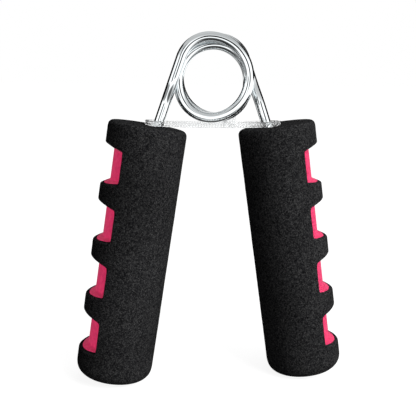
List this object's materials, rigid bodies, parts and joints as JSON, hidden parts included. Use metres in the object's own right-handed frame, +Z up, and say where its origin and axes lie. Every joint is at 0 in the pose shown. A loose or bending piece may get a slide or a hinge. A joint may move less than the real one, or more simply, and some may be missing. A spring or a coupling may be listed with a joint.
{
  "type": "hand grip strengthener",
  "caption": "V-shaped hand grip strengthener: a chromed torsion spring joins two black foam handles with pink finger notches, held at rest by a clear retaining tie.",
  "frame": {"origin": "on the axis of the spring's coil, which is the axis the handles swing about, halfway through the coil's depth", "axes": "+Z up from the handles to the coil, +X toward the right handle, -Y toward the front, with the coil's axis along Y"},
  "size_m": [0.11, 0.036, 0.1389],
  "materials": {
    "spring_wire": "polished",
    "black_foam": "matte",
    "pink_foam": "matte",
    "core_plastic": "satin",
    "clear_nylon": "satin"
  },
  "bodies": {
    "left_arm": {"left_foam_skin": "black_foam", "left_foam_sleeve": "pink_foam", "left_core_tube": "core_plastic", "left_neck_bush": "core_plastic", "left_end_plug": "core_plastic", "torsion_spring": "spring_wire", "retaining_tie": "clear_nylon"},
    "right_arm": {"right_foam_skin": "black_foam", "right_foam_sleeve": "pink_foam", "right_core_tube": "core_plastic", "right_neck_bush": "core_plastic", "right_end_plug": "core_plastic"}
  },
  "joints": [
    {"name": "squeeze", "type": "hinge", "parent": "left_arm", "child": "right_arm", "pos_m": [0, 0, 0], "axis": [0, 1, 0], "range_deg": [0, 23.2], "stiffness_Nm_per_rad": 12, "springref_deg": -6.88, "deforming": ["torsion_spring"]}
  ]
}
